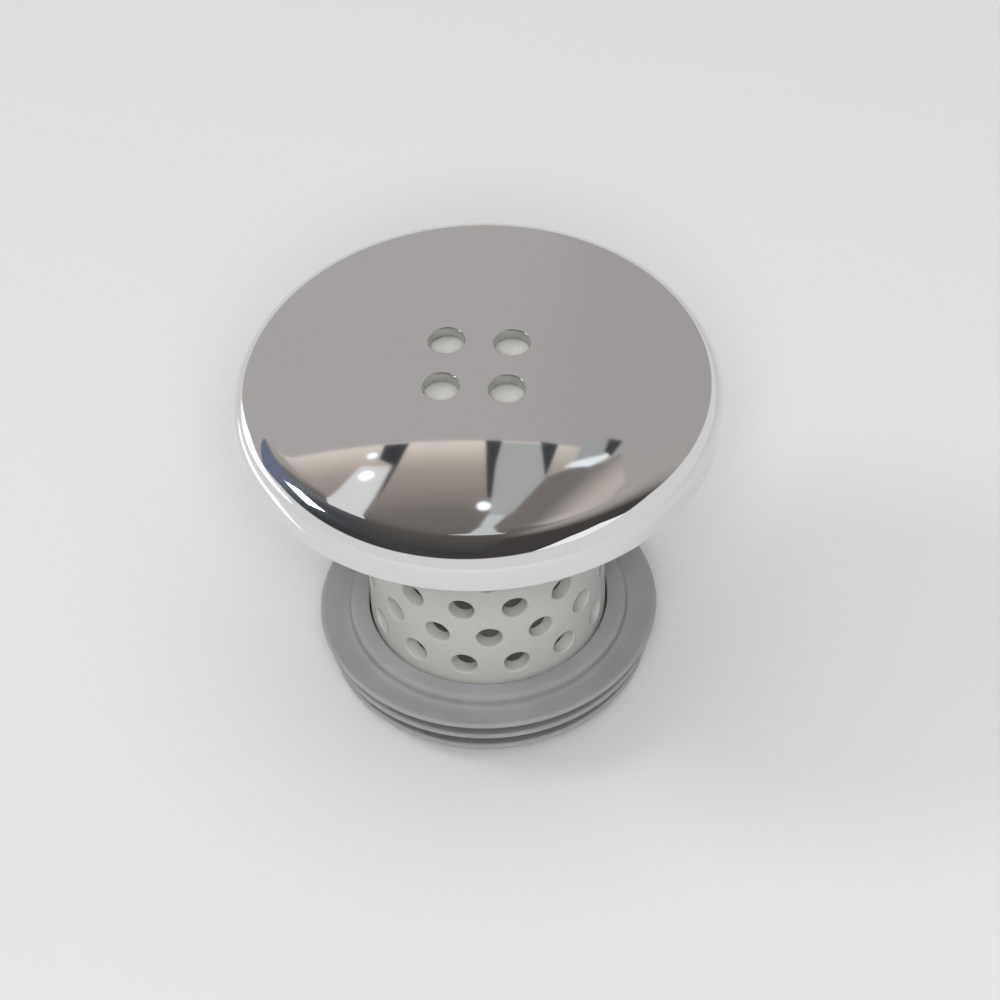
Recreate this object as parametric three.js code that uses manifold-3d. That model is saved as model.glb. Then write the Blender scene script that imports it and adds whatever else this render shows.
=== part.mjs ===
// Drain hair catcher: a chrome-plated mushroom cap screwed down on a perforated plastic stem, with a
// soft lip seal stretched over the stem's foot. Millimetres, +Z up, origin on the axis under the seal.
import * as THREE from 'three';
import { mergeVertices } from 'three/addons/utils/BufferGeometryUtils.js';
import Module from 'manifold-3d';

// Cap: a shallow dome that runs through a bullnose edge into a short straight band
const CAP_DIAMETER = 64;
const CAP_WALL = 1.5;
const CAP_LOWER_RADIUS = 1;
const CAP_INNER_RADIUS = 0.3;
const CAP_BAND_HEIGHT = 1.7;
const CAP_EDGE_RADIUS = 4.5;
const CAP_DOME_RISE = 2.1;

// Clear height under the cap's rim, which sets the overall height
const RIM_HEIGHT = 45;

// Four flow holes through the cap in a square grid round the axis
const FLOW_HOLE_DIAMETER = 4.8;
const FLOW_HOLE_PITCH = 8.55;

// Under the cap: a collar round the stem's top, a screw boss and thin stiffening ribs
const COLLAR_WALL = 1.6;
const COLLAR_DEPTH = 3.5;
const BOSS_DIAMETER = 5.6;
const BOSS_LENGTH = 5.4;
const RIB_COUNT = 8;
const RIB_THICKNESS = 1.2;
const RIB_DEPTH = 2.2;

// Stem: a tube with staggered rows of round perforations
const TUBE_DIAMETER = 32;
const TUBE_WALL = 2;
const PERFORATION_DIAMETER = 3.5;
const PERFORATION_COLUMNS = 14;
const PERFORATION_ROWS = 6;
const PERFORATION_ROW_PITCH = 5.3;
const PERFORATION_MARGIN = 3.4;

// Plate across the stem's top: a raised pad close under the flow holes with a socket for the cap's
// boss, and round it a ring of drain holes, one to a column of perforations
const PLATE_THICKNESS = 1.6;
const PAD_DIAMETER = 17.6;
const DRAIN_HOLE_DIAMETER = 3.2;
const DRAIN_MARGIN = 1.2;
const SOCKET_WALL = 1.2;
const SOCKET_FLOOR = 2;

// Foot of the stem, which the seal wraps
const FOOT_DIAMETER = 34.4;
const FOOT_HEIGHT = 2.6;
const FOOT_CHAMFER = 0.4;

// Seal skirt: a floor under the foot, a sleeve round it and flared lips
const SEAL_FLOOR = 1.6;
const SEAL_LEDGE = 0.6;
const SEAL_WALL = 1.5;
const SEAL_HEIGHT = 10.4;
const SEAL_ROUNDING = 0.8;
const LIP_COUNT = 3;
const LIP_FIRST_HEIGHT = 1.7;
const LIP_PITCH = 2.8;
const LIP_TOP_DIAMETER = 46;
const LIP_DIAMETER_STEP = 1.4;
const LIP_ROOT = 1.2;
const LIP_TIP = 0.7;
const LIP_FLARE = 1.2;

// Pan-head screw and its washer
const SCREW_DIAMETER = 2.8;
const SCREW_REACH = 6.4;
const SCREW_HEAD_DIAMETER = 5.4;
const SCREW_HEAD_HEIGHT = 2;
const SCREW_HEAD_ROUNDING = 0.9;
const RECESS_LENGTH = 3;
const RECESS_WIDTH = 0.8;
const RECESS_DEPTH = 1.1;
const WASHER_DIAMETER = 6.6;
const WASHER_THICKNESS = 0.6;

// Clearances between neighbours
const COLLAR_CLEARANCE = 0.3;
const CEILING_CLEARANCE = 0.3;
const SEAL_CLEARANCE = 0.2;
const SEAT_CLEARANCE = 0.1;
const BOSS_CLEARANCE = 0.3;
const THREAD_CLEARANCE = 0.1;
const SHANK_CLEARANCE = 0.3;
const PILOT_CLEARANCE = 0.3;

// Facets: the tube has one flat for each column of the two staggered patterns
const CAP_SEGMENTS = 48;
const TUBE_SEGMENTS = 2 * PERFORATION_COLUMNS;
const SEAL_SEGMENTS = 40;
const HOLE_SEGMENTS = 20;
const PERFORATION_SEGMENTS = 10;
const SMALL_SEGMENTS = 16;
const CHORD_TOLERANCE = 0.05;
const WELD = 1e-5;

const CAP_RADIUS = CAP_DIAMETER / 2;
const TUBE_RADIUS = TUBE_DIAMETER / 2;
const TUBE_BORE_RADIUS = TUBE_RADIUS - TUBE_WALL;
const FOOT_RADIUS = FOOT_DIAMETER / 2;
const FOOT_BOTTOM = SEAL_FLOOR + SEAT_CLEARANCE;
const FOOT_TOP = FOOT_BOTTOM + FOOT_HEIGHT;

// The dome's circle is centred on the axis and touches the bullnose circle from inside
const BAND_TOP = RIM_HEIGHT + CAP_LOWER_RADIUS + CAP_BAND_HEIGHT;
const APEX = BAND_TOP + CAP_EDGE_RADIUS + CAP_DOME_RISE;
const EDGE_CENTRE = CAP_RADIUS - CAP_EDGE_RADIUS;
const APEX_TO_BAND = APEX - BAND_TOP;
const DOME_RADIUS =
  (EDGE_CENTRE ** 2 + APEX_TO_BAND ** 2 - CAP_EDGE_RADIUS ** 2) / (2 * CAP_DOME_RISE);
const DOME_CENTRE = APEX - DOME_RADIUS;
const DOME_END = Math.atan2(BAND_TOP - DOME_CENTRE, EDGE_CENTRE);

// Stack under the cap's centre: boss, socket floor, washer and screw head, from the top down
const CEILING = APEX - CAP_WALL;
const BOSS_RADIUS = BOSS_DIAMETER / 2;
const BOSS_BOTTOM = CEILING - BOSS_LENGTH;
const FLOOR_TOP = BOSS_BOTTOM - SEAT_CLEARANCE;
const FLOOR_BOTTOM = FLOOR_TOP - SOCKET_FLOOR;
const WASHER_TOP = FLOOR_BOTTOM - SEAT_CLEARANCE;
const WASHER_BOTTOM = WASHER_TOP - WASHER_THICKNESS;
const HEAD_TOP = WASHER_BOTTOM - SEAT_CLEARANCE;
const SCREW_TIP = HEAD_TOP + SCREW_REACH + WASHER_THICKNESS;
const SCREW_RADIUS = SCREW_DIAMETER / 2;

const wasm = await Module();
wasm.setup();

function point(radius, height) {
  return new THREE.Vector2(radius, height);
}

// Points along an arc in the profile plane, counter-clockwise where the end angle is larger
function arc(radius, height, arcRadius, from, to) {
  const largestStep = 2 * Math.acos(1 - Math.min(1, CHORD_TOLERANCE / arcRadius));
  const steps = Math.max(2, Math.ceil(Math.abs(to - from) / largestStep));
  const points = [];
  for (let i = 0; i <= steps; i += 1) {
    const angle = from + ((to - from) * i) / steps;
    points.push(point(radius + arcRadius * Math.cos(angle), height + arcRadius * Math.sin(angle)));
  }
  return points;
}

// A profile without the doubled points where an arc meets the next stretch
function profile(...stretches) {
  const points = [];
  for (const next of stretches.flat()) {
    const last = points.at(-1);
    if (!last || last.distanceTo(next) > WELD) {
      points.push(next);
    }
  }
  return points;
}

// A closed geometry as a solid, with the triangles that collapse on the axis left out
function solidOf(geometry) {
  geometry.deleteAttribute('normal');
  geometry.deleteAttribute('uv');
  const merged = mergeVertices(geometry, WELD);
  const index = merged.index.array;
  const triangles = [];
  for (let i = 0; i < index.length; i += 3) {
    const [a, b, c] = index.slice(i, i + 3);
    if (a !== b && b !== c && c !== a) {
      triangles.push(a, b, c);
    }
  }
  return new wasm.Manifold(
    new wasm.Mesh({
      numProp: 3,
      vertProperties: merged.attributes.position.array,
      triVerts: new Uint32Array(triangles),
    }),
  );
}

function geometryOf(solid) {
  const mesh = solid.getMesh();
  const geometry = new THREE.BufferGeometry();
  geometry.setAttribute('position', new THREE.BufferAttribute(mesh.vertProperties, 3));
  geometry.setIndex(new THREE.BufferAttribute(mesh.triVerts, 1));
  geometry.computeVertexNormals();
  return geometry;
}

// Turned solid about Z; the profile runs counter-clockwise with the radius to the right
function turned(points, segments) {
  const geometry = new THREE.LatheGeometry(points, segments);
  geometry.rotateX(Math.PI / 2);
  return solidOf(geometry);
}

// Ring of rectangular section
function ring(inner, outer, bottom, top, segments) {
  const corners = [
    point(inner, bottom),
    point(outer, bottom),
    point(outer, top),
    point(inner, top),
    point(inner, bottom),
  ];
  return turned(corners, segments);
}

// Upright round bar
function bar(radius, bottom, top, segments, x = 0, y = 0) {
  const geometry = new THREE.CylinderGeometry(radius, radius, top - bottom, segments);
  geometry.rotateX(Math.PI / 2);
  geometry.translate(x, y, (bottom + top) / 2);
  return solidOf(geometry);
}

// Box centred at a point, turned about Z
function block(length, width, height, x, z, turn = 0) {
  const geometry = new THREE.BoxGeometry(length, width, height);
  geometry.translate(x, 0, z);
  geometry.rotateZ(turn);
  return solidOf(geometry);
}

// Height of the cap's underside at a radius on the dome
function ceilingAt(radius) {
  return DOME_CENTRE + Math.sqrt((DOME_RADIUS - CAP_WALL) ** 2 - radius ** 2);
}

function capShell() {
  const innerEdge = CAP_EDGE_RADIUS - CAP_WALL;
  const innerRim = CAP_RADIUS - CAP_WALL;
  const underside = [
    ...arc(0, DOME_CENTRE, DOME_RADIUS - CAP_WALL, Math.PI / 2, DOME_END),
    ...arc(EDGE_CENTRE, BAND_TOP, innerEdge, DOME_END, 0),
  ];
  underside[0].x = 0;
  const rim = [
    ...arc(innerRim + CAP_INNER_RADIUS, RIM_HEIGHT + CAP_INNER_RADIUS, CAP_INNER_RADIUS,
      Math.PI, 1.5 * Math.PI),
    ...arc(CAP_RADIUS - CAP_LOWER_RADIUS, RIM_HEIGHT + CAP_LOWER_RADIUS, CAP_LOWER_RADIUS,
      -Math.PI / 2, 0),
  ];
  const outside = [
    ...arc(EDGE_CENTRE, BAND_TOP, CAP_EDGE_RADIUS, 0, DOME_END),
    ...arc(0, DOME_CENTRE, DOME_RADIUS, DOME_END, Math.PI / 2),
  ];
  outside.at(-1).x = 0;
  return turned(profile(underside, rim, outside), CAP_SEGMENTS);
}

// Solid under the middle of the cap's wall, which trims the ribs to the dome
function capCore(bottom) {
  const middle = CAP_WALL / 2;
  const crown = [
    ...arc(EDGE_CENTRE, BAND_TOP, CAP_EDGE_RADIUS - middle, 0, DOME_END),
    ...arc(0, DOME_CENTRE, DOME_RADIUS - middle, DOME_END, Math.PI / 2),
  ];
  crown.at(-1).x = 0;
  const floor = Math.min(bottom, BAND_TOP);
  return turned(profile([point(0, floor), point(crown[0].x, floor)], crown), CAP_SEGMENTS);
}

function capRibs(collarOuter) {
  const bottom = ceilingAt(collarOuter) - RIB_DEPTH;
  const start = collarOuter - COLLAR_WALL / 2;
  const length = CAP_RADIUS - start;
  const height = APEX - bottom;
  const core = capCore(bottom);
  const ribs = [];
  for (let i = 0; i < RIB_COUNT; i += 1) {
    const turn = ((i + 0.5) * 2 * Math.PI) / RIB_COUNT;
    const rib = block(length, RIB_THICKNESS, height, start + length / 2, bottom + height / 2, turn);
    ribs.push(rib.intersect(core));
  }
  return ribs;
}

function capSolid() {
  const collarInner = TUBE_RADIUS + COLLAR_CLEARANCE;
  const collarOuter = collarInner + COLLAR_WALL;
  const collarBottom = ceilingAt(collarOuter) - COLLAR_DEPTH;
  const insideWall = CAP_WALL / 2;
  let cap = capShell();
  cap = cap.add(ring(collarInner, collarOuter, collarBottom, ceilingAt(collarOuter) + insideWall,
    CAP_SEGMENTS));
  cap = cap.add(bar(BOSS_RADIUS, BOSS_BOTTOM, CEILING + insideWall, HOLE_SEGMENTS));
  for (const rib of capRibs(collarOuter)) {
    cap = cap.add(rib);
  }
  for (const x of [-FLOW_HOLE_PITCH / 2, FLOW_HOLE_PITCH / 2]) {
    for (const y of [-FLOW_HOLE_PITCH / 2, FLOW_HOLE_PITCH / 2]) {
      cap = cap.subtract(bar(FLOW_HOLE_DIAMETER / 2, BOSS_BOTTOM, APEX + CAP_WALL, HOLE_SEGMENTS, x, y));
    }
  }
  const pilotRadius = SCREW_RADIUS + THREAD_CLEARANCE;
  const pilotTop = SCREW_TIP + PILOT_CLEARANCE;
  return cap.subtract(bar(pilotRadius, FLOOR_BOTTOM, pilotTop, SMALL_SEGMENTS));
}

// Radial cutter through the tube's wall
function perforation(angle, height) {
  const length = 2 * TUBE_WALL + PERFORATION_DIAMETER;
  const radius = PERFORATION_DIAMETER / 2;
  const geometry = new THREE.CylinderGeometry(radius, radius, length, PERFORATION_SEGMENTS);
  geometry.rotateZ(Math.PI / 2);
  geometry.translate(TUBE_RADIUS - TUBE_WALL / 2, 0, height);
  geometry.rotateZ(angle);
  return solidOf(geometry);
}

function stemSolid() {
  const top = ceilingAt(TUBE_RADIUS) - CEILING_CLEARANCE;
  const outline = [
    point(TUBE_BORE_RADIUS, FOOT_BOTTOM),
    point(FOOT_RADIUS - FOOT_CHAMFER, FOOT_BOTTOM),
    point(FOOT_RADIUS, FOOT_BOTTOM + FOOT_CHAMFER),
    point(FOOT_RADIUS, FOOT_TOP - FOOT_CHAMFER),
    point(FOOT_RADIUS - FOOT_CHAMFER, FOOT_TOP),
    point(TUBE_RADIUS, FOOT_TOP),
    point(TUBE_RADIUS, top),
    point(TUBE_BORE_RADIUS, top),
    point(TUBE_BORE_RADIUS, FOOT_BOTTOM),
  ];
  let stem = turned(outline, TUBE_SEGMENTS);
  const plateRadius = TUBE_RADIUS - TUBE_WALL / 2;
  const plateBottom = top - PLATE_THICKNESS;
  stem = stem.add(bar(plateRadius, plateBottom, top, TUBE_SEGMENTS));
  const padTop = ceilingAt(PAD_DIAMETER / 2) - CEILING_CLEARANCE;
  stem = stem.add(bar(PAD_DIAMETER / 2, plateBottom, padTop, TUBE_SEGMENTS));
  const socketRadius = BOSS_RADIUS + BOSS_CLEARANCE;
  stem = stem.add(bar(socketRadius + SOCKET_WALL, FLOOR_BOTTOM, top, HOLE_SEGMENTS));
  stem = stem.subtract(bar(socketRadius, FLOOR_TOP, APEX, HOLE_SEGMENTS));
  const shankHole = SCREW_RADIUS + SHANK_CLEARANCE;
  stem = stem.subtract(bar(shankHole, FLOOR_BOTTOM - SOCKET_FLOOR, APEX, SMALL_SEGMENTS));
  const flat = (2 * Math.PI) / TUBE_SEGMENTS;
  const drainRadius = DRAIN_HOLE_DIAMETER / 2;
  const drainRing = TUBE_BORE_RADIUS - DRAIN_MARGIN - drainRadius;
  for (let column = 0; column < PERFORATION_COLUMNS; column += 1) {
    const angle = (2 * column + 0.5) * flat;
    const x = drainRing * Math.cos(angle);
    const y = drainRing * Math.sin(angle);
    stem = stem.subtract(bar(drainRadius, FLOOR_BOTTOM, APEX, PERFORATION_SEGMENTS, x, y));
  }
  for (let row = 0; row < PERFORATION_ROWS; row += 1) {
    const height = SEAL_HEIGHT + PERFORATION_MARGIN + row * PERFORATION_ROW_PITCH;
    for (let column = 0; column < PERFORATION_COLUMNS; column += 1) {
      const angle = (2 * column + (row % 2) + 0.5) * flat;
      stem = stem.subtract(perforation(angle, height));
    }
  }
  return stem;
}

// One flared lip, from the underside of its root round the tip to the top of its root
function lipOutline(coreRadius, index) {
  const radius = LIP_TOP_DIAMETER / 2 - ((LIP_COUNT - 1 - index) * LIP_DIAMETER_STEP) / 2;
  const root = LIP_FIRST_HEIGHT + index * LIP_PITCH;
  const tipMiddle = root + LIP_ROOT / 2 + LIP_FLARE;
  const tipRadius = LIP_TIP / 2;
  return [
    point(coreRadius, root),
    ...arc(radius - tipRadius, tipMiddle, tipRadius, -Math.PI / 2, Math.PI / 2),
    point(coreRadius, root + LIP_ROOT),
  ];
}

function sealSolid() {
  const coreRadius = FOOT_RADIUS + SEAL_CLEARANCE + SEAL_WALL;
  const gripRadius = TUBE_RADIUS + SEAL_CLEARANCE;
  const pocketRadius = FOOT_RADIUS + SEAL_CLEARANCE;
  const pocketTop = FOOT_TOP + SEAT_CLEARANCE;
  const boreRadius = TUBE_BORE_RADIUS + SEAL_LEDGE;
  const lips = [];
  for (let index = 0; index < LIP_COUNT; index += 1) {
    lips.push(...lipOutline(coreRadius, index));
  }
  const base = [
    point(boreRadius, 0),
    ...arc(coreRadius - SEAL_ROUNDING, SEAL_ROUNDING, SEAL_ROUNDING, -Math.PI / 2, 0),
  ];
  const top = arc(coreRadius - SEAL_ROUNDING, SEAL_HEIGHT - SEAL_ROUNDING, SEAL_ROUNDING, 0, Math.PI / 2);
  const inside = [
    point(gripRadius, SEAL_HEIGHT),
    point(gripRadius, pocketTop),
    point(pocketRadius, pocketTop),
    point(pocketRadius, SEAL_FLOOR),
    point(boreRadius, SEAL_FLOOR),
    point(boreRadius, 0),
  ];
  return turned(profile(base, lips, top, inside), SEAL_SEGMENTS);
}

function screwSolid() {
  const headRadius = SCREW_HEAD_DIAMETER / 2;
  const headBottom = HEAD_TOP - SCREW_HEAD_HEIGHT;
  const outline = profile(
    [point(0, headBottom)],
    arc(headRadius - SCREW_HEAD_ROUNDING, headBottom + SCREW_HEAD_ROUNDING, SCREW_HEAD_ROUNDING,
      -Math.PI / 2, 0),
    [
      point(headRadius, HEAD_TOP),
      point(SCREW_RADIUS, HEAD_TOP),
      point(SCREW_RADIUS, SCREW_TIP),
      point(0, SCREW_TIP),
    ],
  );
  let screw = turned(outline, SMALL_SEGMENTS);
  for (const turn of [0, Math.PI / 2]) {
    screw = screw.subtract(block(RECESS_LENGTH, RECESS_WIDTH, 2 * RECESS_DEPTH, 0, headBottom, turn));
  }
  return screw;
}

function washerSolid() {
  const inner = SCREW_RADIUS + SHANK_CLEARANCE;
  return ring(inner, WASHER_DIAMETER / 2, WASHER_BOTTOM, WASHER_TOP, SMALL_SEGMENTS);
}

function part(name, solid, finish) {
  const mesh = new THREE.Mesh(geometryOf(solid), new THREE.MeshStandardMaterial(finish));
  mesh.name = name;
  return mesh;
}

const MIRROR_CHROME = { color: 0xd4d5d6, roughness: 0.05, metalness: 1 };
const PALE_PLASTIC = { color: 0xded9d3, roughness: 0.4, metalness: 0 };
const STAINLESS = { color: 0xb6b7b8, roughness: 0.3, metalness: 1 };
const SILICONE = { color: 0x8d9093, roughness: 0.55, metalness: 0 };

const strainer = new THREE.Group();
strainer.add(
  part('cap', capSolid(), MIRROR_CHROME),
  part('strainer_stem', stemSolid(), PALE_PLASTIC),
  part('cap_screw', screwSolid(), STAINLESS),
  part('screw_washer', washerSolid(), STAINLESS),
);

const catcher = new THREE.Group();
catcher.add(strainer, part('seal_skirt', sealSolid(), SILICONE));

export default catcher;
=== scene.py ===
"""Looks of the drain hair catcher: chrome cap, pale stem, silicone seal, stainless screw and washer."""
import math

import bmesh
import bpy
import numpy as np
from mathutils import Matrix, Vector


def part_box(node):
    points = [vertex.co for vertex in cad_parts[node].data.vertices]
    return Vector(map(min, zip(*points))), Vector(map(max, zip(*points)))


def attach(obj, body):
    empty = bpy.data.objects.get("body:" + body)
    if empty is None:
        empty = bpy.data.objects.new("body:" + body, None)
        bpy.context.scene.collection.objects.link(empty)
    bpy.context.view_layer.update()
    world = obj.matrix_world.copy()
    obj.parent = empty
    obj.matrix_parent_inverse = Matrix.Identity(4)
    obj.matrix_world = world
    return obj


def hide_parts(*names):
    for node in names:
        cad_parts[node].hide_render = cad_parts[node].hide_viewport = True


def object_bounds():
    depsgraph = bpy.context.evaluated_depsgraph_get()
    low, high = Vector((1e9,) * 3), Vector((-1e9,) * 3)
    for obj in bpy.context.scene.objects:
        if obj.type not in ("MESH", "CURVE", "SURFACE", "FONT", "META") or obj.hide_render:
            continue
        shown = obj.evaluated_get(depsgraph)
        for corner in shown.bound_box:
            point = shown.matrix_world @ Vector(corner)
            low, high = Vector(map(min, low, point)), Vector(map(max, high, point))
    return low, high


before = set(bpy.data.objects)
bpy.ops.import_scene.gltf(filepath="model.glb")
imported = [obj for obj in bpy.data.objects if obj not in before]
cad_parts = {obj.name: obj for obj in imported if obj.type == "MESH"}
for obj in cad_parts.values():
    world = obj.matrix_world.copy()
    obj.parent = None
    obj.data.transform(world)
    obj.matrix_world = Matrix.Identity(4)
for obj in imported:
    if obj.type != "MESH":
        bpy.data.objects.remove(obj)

cad_box = [list(corner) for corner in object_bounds()]

# Sizes of the pieces are in millimetres until a mesh is made; the stage is in metres
MM = 0.001
TAU = 2 * math.pi
RIGHT_ANGLE = math.pi / 2
EIGHTH_TURN = math.pi / 4
TINY = 1e-6
# Corners of a square, counter-clockwise from the upper right
SQUARE = [(1, 1), (-1, 1), (-1, -1), (1, -1)]


def node_box(node):
    """Lowest and highest corner of a CAD node."""
    low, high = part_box(node)
    return low / MM, high / MM


CAP_LOW, CAP_HIGH = node_box("cap")
STEM_LOW, STEM_HIGH = node_box("strainer_stem")
SEAL_HIGH = node_box("seal_skirt")[1]
SCREW_LOW, SCREW_HIGH = node_box("cap_screw")
WASHER_LOW, WASHER_HIGH = node_box("screw_washer")

# Cap: dome, bullnose, straight band and lower edge
CAP_RADIUS = CAP_HIGH.x
RIM = CAP_LOW.z
APEX = CAP_HIGH.z
CAP_WALL = 1.5
LOWER_RADIUS = 1.0
INNER_RADIUS = 0.3
BAND_HEIGHT = 1.7
EDGE_RADIUS = 4.5
BAND_TOP = RIM + LOWER_RADIUS + BAND_HEIGHT
EDGE_CENTRE = CAP_RADIUS - EDGE_RADIUS
DOME_RISE = APEX - BAND_TOP - EDGE_RADIUS
DOME_RADIUS = (EDGE_CENTRE**2 + (APEX - BAND_TOP) ** 2 - EDGE_RADIUS**2) / (2 * DOME_RISE)
DOME_CENTRE = APEX - DOME_RADIUS
DOME_END = math.atan2(BAND_TOP - DOME_CENTRE, EDGE_CENTRE)

# Cap: flow holes
HOLE_RADIUS = 2.4
HOLE_PITCH = 8.55
HOLE_EDGE = 0.16
HALF_PITCH = HOLE_PITCH / 2
HOLE_CENTRES = [(x, y) for x in (-HALF_PITCH, HALF_PITCH) for y in (-HALF_PITCH, HALF_PITCH)]
# Inside this circle the cap is made of cells round the holes, outside it is turned
BLOCK_CIRCLE = 13.4

# Cap: collar, screw boss and ribs underneath
COLLAR_INNER = 16.3
COLLAR_OUTER = 17.9
COLLAR_DEPTH = 3.5
COLLAR_FILLET = 0.4
COLLAR_EDGE = 0.3
BOSS_RADIUS = 2.8
BOSS_LENGTH = 5.4
BOSS_FILLET = 0.35
BOSS_EDGE = 0.2
BOSS_REACH = BOSS_RADIUS + BOSS_FILLET
PILOT_RADIUS = 1.5
PILOT_GAP = 0.3
RIB_COUNT = 8
RIB_THICKNESS = 1.2
RIB_DEPTH = 2.2
RIB_EDGE = 0.3
# The ribs' ends and tops are inside the walls of the collar, the rim and the dome
RIB_START = COLLAR_OUTER - 0.6
RIB_END = CAP_RADIUS - 0.8 * CAP_WALL
RIB_TOP_DEPTH = 0.6 * CAP_WALL
RIB_LEAST_SIDE = 0.01

# Stem
FOOT_RADIUS = STEM_HIGH.x
FOOT_BOTTOM = STEM_LOW.z
FOOT_THICKNESS = 2.6
FOOT_TOP = FOOT_BOTTOM + FOOT_THICKNESS
TUBE_RADIUS = 16.0
BORE_RADIUS = 14.0
STEM_EDGE = 0.35
STEM_FILLET = 0.5
PERFORATION_RADIUS = 1.75
PERFORATION_EDGE = 0.22
COLUMNS = 14
ROWS = 6
ROW_PITCH = 5.3
FIRST_ROW_RISE = 3.4
FIRST_ROW = SEAL_HIGH.z + FIRST_ROW_RISE
PLATE_THICKNESS = 1.6
PAD_RADIUS = 8.8
PAD_TOP = STEM_HIGH.z
DRAIN_RADIUS = 1.6
DRAIN_EDGE = 0.15
DRAIN_MARGIN = 1.2
DRAIN_RING = BORE_RADIUS - DRAIN_MARGIN - DRAIN_RADIUS
DRAIN_REACH = 2.2
DRAIN_BAND = (DRAIN_RING - DRAIN_REACH, DRAIN_RING + DRAIN_REACH)
SOCKET_GAP = 0.3
SOCKET_RADIUS = BOSS_RADIUS + SOCKET_GAP
SOCKET_WALL = 1.2
SOCKET_EDGE = 0.2
SHANK_HOLE = 1.7
# The tube ends just under the cap's ceiling, with the plate flush at its top
CEILING_GAP = 0.3
TUBE_TOP = DOME_CENTRE + math.sqrt((DOME_RADIUS - CAP_WALL) ** 2 - TUBE_RADIUS**2) - CEILING_GAP
PLATE_BOTTOM = TUBE_TOP - PLATE_THICKNESS
# The socket's floor is just under the end of the boss
BOSS_GAP = 0.1
FLOOR_THICKNESS = 2.0
FLOOR_TOP = APEX - CAP_WALL - BOSS_LENGTH - BOSS_GAP
FLOOR_BOTTOM = FLOOR_TOP - FLOOR_THICKNESS

# Seal, which stands on height 0
SEAL_FLOOR = 1.6
SEAL_BORE = 14.6
SEAL_POCKET = 17.4
POCKET_GAP = 0.1
SEAL_POCKET_TOP = FOOT_TOP + POCKET_GAP
SEAL_GRIP = 16.2
SEAL_CORE = 18.9
SEAL_FOOT_EDGE = 0.4
SEAL_OUTER_EDGE = 0.8
SEAL_INNER_EDGE = 0.3
LIP_COUNT = 3
LIP_FIRST = 1.7
LIP_PITCH = 2.8
LIP_STEP = 0.7
LIP_ROOT = 1.2
LIP_TIP = 0.7
LIP_FLARE = 1.2
LIP_CURVE = 1.25
LIP_FILLET = 0.3
# Points of a lip's fillets, out from the sleeve and up from the lip's lower or upper root
FILLET_BELOW = [(0.0, -LIP_FILLET), (0.1, -0.05), (LIP_FILLET, 0.06)]
FILLET_ABOVE = [(LIP_FILLET, 0.16), (0.1, 0.22), (0.0, LIP_FILLET + 0.2)]

# Washer and screw
WASHER_BORE = 1.7
# Rounding of the washer's lower inner, lower outer, upper outer and upper inner edge
WASHER_EDGES = (0.08, 0.15, 0.05, 0.05)
HEAD_GAP = 0.1
HEAD_ROUND = 0.9
HEAD_EDGE = 0.1
NECK_RADIUS = 1.35
SHANK_START = 0.05
THREAD_ROOT = 1.12
THREAD_CREST = 1.47
THREAD_PITCH = 0.8
THREAD_SPREAD = 0.36
THREAD_RUN_IN = 0.6
THREAD_RUN_OUT = 0.5
THREAD_TIP = 0.15
# Half length and half width of the driver recess
RECESS_TOP = (1.5, 0.42)
RECESS_FLOOR = (0.7, 0.24)
RECESS_DEPTH = 1.0

# Mesh density
CELL_SIDE = 32
CELL_SHARES = (0, 0.02, 0.1, 0.25, 0.45, 0.7, 0.85, 1)
CROWN_SHARES = (0, 0.15, 0.3, 0.45, 0.6, 0.8, 1)
HOLE_EDGE_STEPS = 6
RIB_SECTIONS = 24
STEM_CELL_SIDE = 8
STEM_SHARES = (1, 0.6, 0.25, 0.05, 0)
STEM_EDGE_STEPS = 4
LIP_STEPS = 10
TURN_STEPS = 256
SMALL_TURN_STEPS = 96
SHANK_SECTIONS = 120
# Angles that agree to this many digits are the same
ANGLE_DIGITS = 9
# Points closer than the first are welded, and edges shorter than the second dissolved
WELD = 0.002
SHORTEST_EDGE = 0.00001


# Mesh building


class Skin:
    """Points and faces of one piece, in millimetres, welded where stretches meet."""

    def __init__(self):
        self.points = []
        self.faces = []

    def ring(self, points):
        """Adds points and returns their indices."""
        start = len(self.points)
        self.points.extend(tuple(p) for p in points)
        return list(range(start, start + len(points)))

    def strip(self, lower, upper):
        """Quads between two closed rings of equal length."""
        count = len(lower)
        for i in range(count):
            j = (i + 1) % count
            self.faces.append((lower[i], lower[j], upper[j], upper[i]))

    def rings(self, rows):
        """Adds closed rings with quads from each to the next."""
        indices = [self.ring(row) for row in rows]
        for lower, upper in zip(indices, indices[1:]):
            self.strip(lower, upper)
        return indices

    def cap(self, ring, flip=False):
        """Closes a ring with one face."""
        self.faces.append(tuple(reversed(ring)) if flip else tuple(ring))

    def piece(self, name):
        mesh = bpy.data.meshes.new(name)
        mesh.from_pydata([Vector(p) * MM for p in self.points], [], self.faces)
        work = bmesh.new()
        work.from_mesh(mesh)
        bmesh.ops.remove_doubles(work, verts=work.verts, dist=WELD * MM)
        bmesh.ops.dissolve_degenerate(work, edges=work.edges, dist=SHORTEST_EDGE * MM)
        bmesh.ops.recalc_face_normals(work, faces=work.faces)
        work.to_mesh(mesh)
        work.free()
        for polygon in mesh.polygons:
            polygon.use_smooth = True
        piece = bpy.data.objects.new(name, mesh)
        bpy.context.scene.collection.objects.link(piece)
        return piece


def arc(centre_r, centre_z, radius, start, end, steps):
    """Points of an arc in the profile plane, both ends included."""
    angles = np.linspace(start, end, steps + 1)
    return [(centre_r + radius * math.cos(a), centre_z + radius * math.sin(a)) for a in angles]


def line(start, end, steps):
    """Points from start up to, but without, end."""
    return [
        (start[0] + (end[0] - start[0]) * i / steps, start[1] + (end[1] - start[1]) * i / steps)
        for i in range(steps)
    ]


def even_angles(count, start=0.0):
    return [start + TAU * i / count for i in range(count)]


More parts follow.
